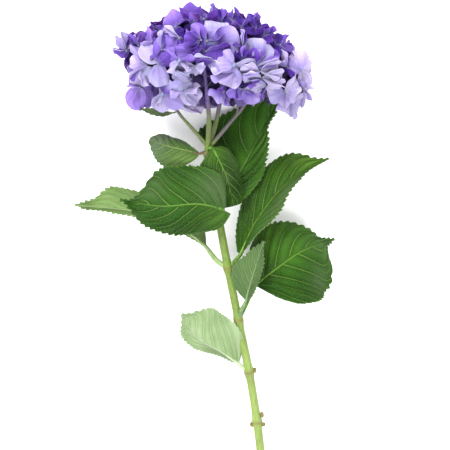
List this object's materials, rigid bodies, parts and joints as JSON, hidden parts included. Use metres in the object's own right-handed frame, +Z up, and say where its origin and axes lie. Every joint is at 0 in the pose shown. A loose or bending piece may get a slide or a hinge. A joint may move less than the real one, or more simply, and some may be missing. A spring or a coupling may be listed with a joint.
{
  "type": "cut hydrangea",
  "caption": "Cut hydrangea lying down: a round head of broad four-lobed florets on branching rays, and a bare-ended stem with paired toothed leaves.",
  "frame": {"origin": "on the surface that the flower lies on, under the middle of its box", "axes": "+Z up from the surface, +Y along the flower's length towards its head, +X to the right as seen from above"},
  "size_m": [0.2393, 0.4255, 0.1431],
  "materials": {
    "stem": "smooth yellow-green living stem",
    "leaf": "satin green leaf, upper side",
    "leaf_underside": "matt pale green leaf, underside",
    "petal": "soft matt violet to lilac petal"
  },
  "bodies": {
    "root": {"stem": "stem", "leaf_top_left": "leaf", "leaf_front_heart": "leaf", "leaf_front_large": "leaf", "leaf_back_dark": "leaf", "leaf_left_pale": "leaf_underside", "leaf_right_bright": "leaf", "leaf_lower_broad": "leaf", "leaf_lower_grey": "leaf_underside", "leaf_bottom_folded": "leaf_underside", "bract": "leaf", "bloom": "petal"}
  },
  "joints": []
}
